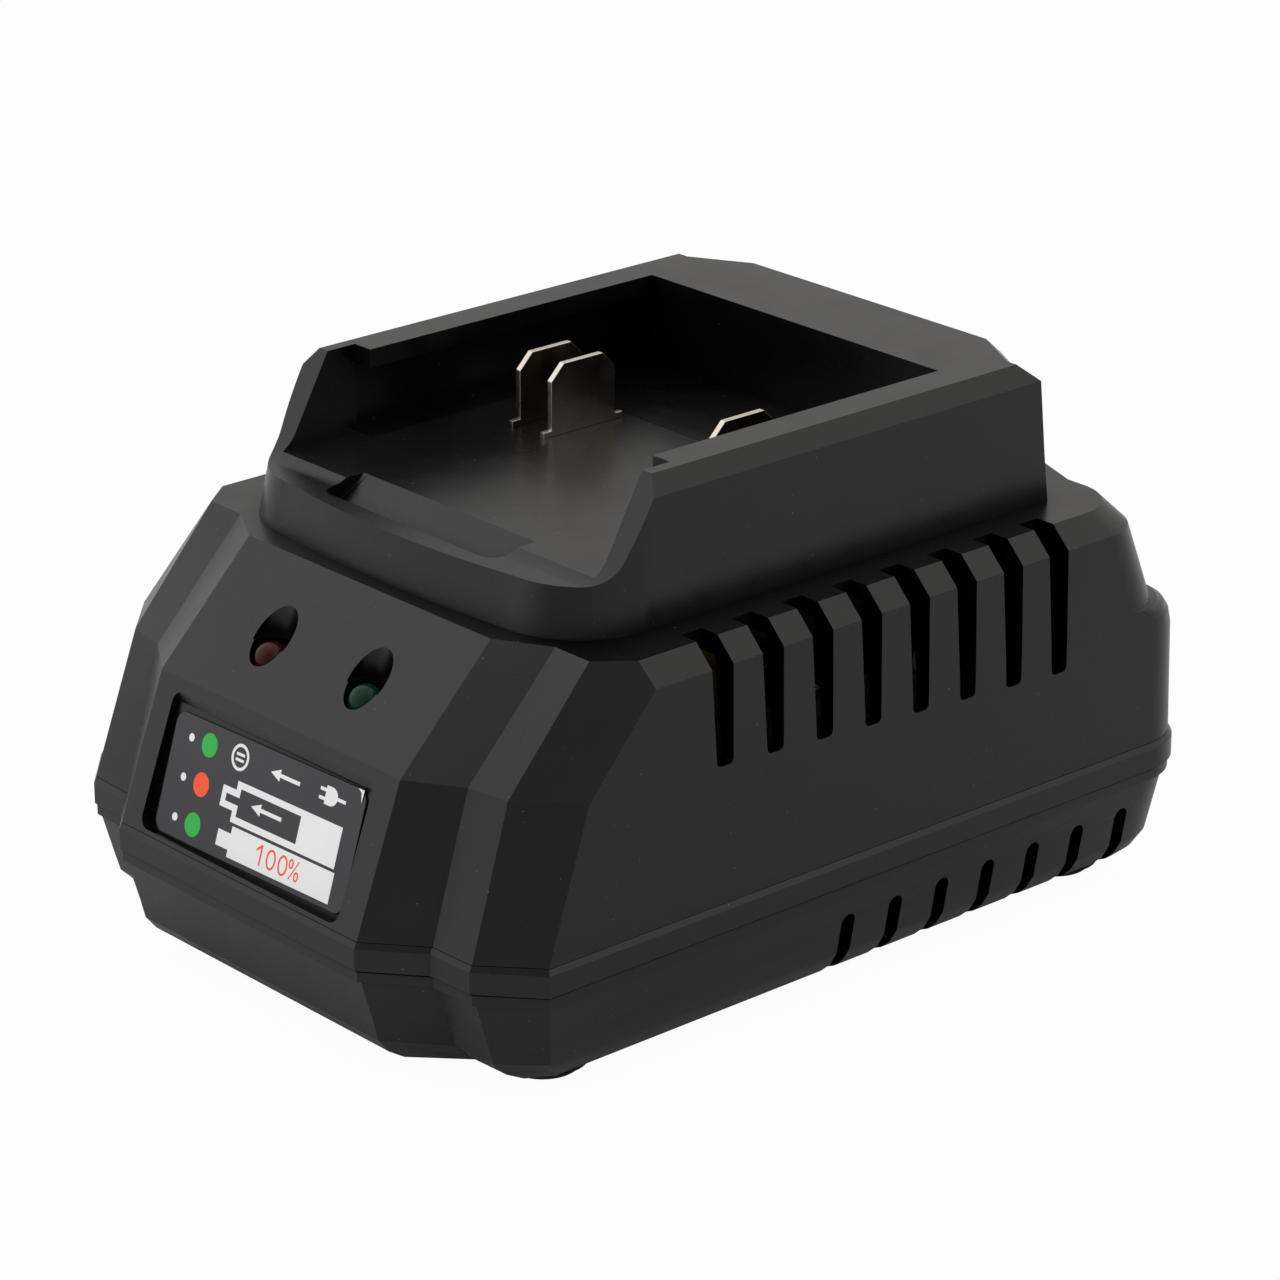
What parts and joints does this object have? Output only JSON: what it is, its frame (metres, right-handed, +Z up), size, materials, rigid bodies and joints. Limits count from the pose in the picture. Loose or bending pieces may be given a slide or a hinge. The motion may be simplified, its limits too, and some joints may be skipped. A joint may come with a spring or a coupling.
{
  "type": "power tool battery charger",
  "caption": "Desk charger for slide-in power tool batteries: vented two-part housing, open rail cradle with blade contacts, sloped front with indicator lamps and a status label.",
  "frame": {"origin": "centre of the footprint, on the surface the charger stands on", "axes": "+Z up, -Y is the front with the label and lamps, +X is the user's right when facing the front, the cord inlet faces +Y"},
  "size_m": [0.101, 0.1408, 0.0805],
  "materials": {
    "aluminium": "extruded aluminium",
    "block": "glass-filled nylon, moulded",
    "capacitor_sleeve": "shrunk sleeve over aluminium can",
    "chip_epoxy": "moulded epoxy",
    "circuit_board": "green solder mask on glass epoxy",
    "contact": "tin plated brass blade",
    "copper": "enamelled copper wire",
    "ferrite": "sintered ferrite",
    "filter_box": "yellow film capacitor box",
    "fuse_glass": "glass tube with plated caps",
    "green_lens": "clear tinted epoxy dome",
    "header_nylon": "natural nylon",
    "housing": "fine spark-eroded texture, moulded black ABS",
    "label": "satin printed polyester film",
    "lead_black": "PVC insulation",
    "lead_grey": "PVC ribbon insulation",
    "lead_red": "PVC insulation",
    "lead_yellow": "PVC insulation",
    "red_lens": "clear tinted epoxy dome",
    "rubber": "moulded black rubber",
    "steel": "zinc plated steel",
    "varistor_blue": "dipped epoxy",
    "winding_tape": "yellow polyester tape over the winding"
  },
  "bodies": {
    "root": {"battery_cradle": "housing", "board_screws": "steel", "bridge_rectifier": "chip_epoxy", "choke_core": "ferrite", "choke_winding": "copper", "contact_blade_left_inner": "contact", "contact_blade_left_outer": "contact", "contact_blade_right": "contact", "contact_lead_left_inner": "lead_yellow", "contact_lead_left_outer": "lead_red", "contact_lead_right": "lead_black", "control_chip": "chip_epoxy", "cord_inlet_bush": "rubber", "cradle_screws": "steel", "filter_capacitor": "filter_box", "foot_front_left": "rubber", "foot_front_right": "rubber", "foot_rear_left": "rubber", "foot_rear_right": "rubber", "fuse": "fuse_glass", "fuse_clips": "steel", "green_lamp": "green_lens", "heat_sink": "aluminium", "heat_sink_screws": "steel", "housing_screws": "steel", "input_capacitor": "capacitor_sleeve", "label": "label", "lamp_board": "circuit_board", "lamp_board_screws": "steel", "lamp_header": "header_nylon", "lamp_lead": "lead_grey", "lower_housing": "housing", "main_circuit_board": "circuit_board", "mains_header": "header_nylon", "optocoupler": "chip_epoxy", "output_capacitor_1": "capacitor_sleeve", "output_capacitor_2": "capacitor_sleeve", "output_header": "header_nylon", "output_rectifier": "chip_epoxy", "power_transistor": "chip_epoxy", "red_lamp": "red_lens", "terminal_block": "block", "terminal_block_screws": "steel", "transformer_bobbin": "block", "transformer_core": "ferrite", "transformer_winding": "winding_tape", "upper_housing": "housing", "varistor": "varistor_blue"}
  },
  "joints": []
}
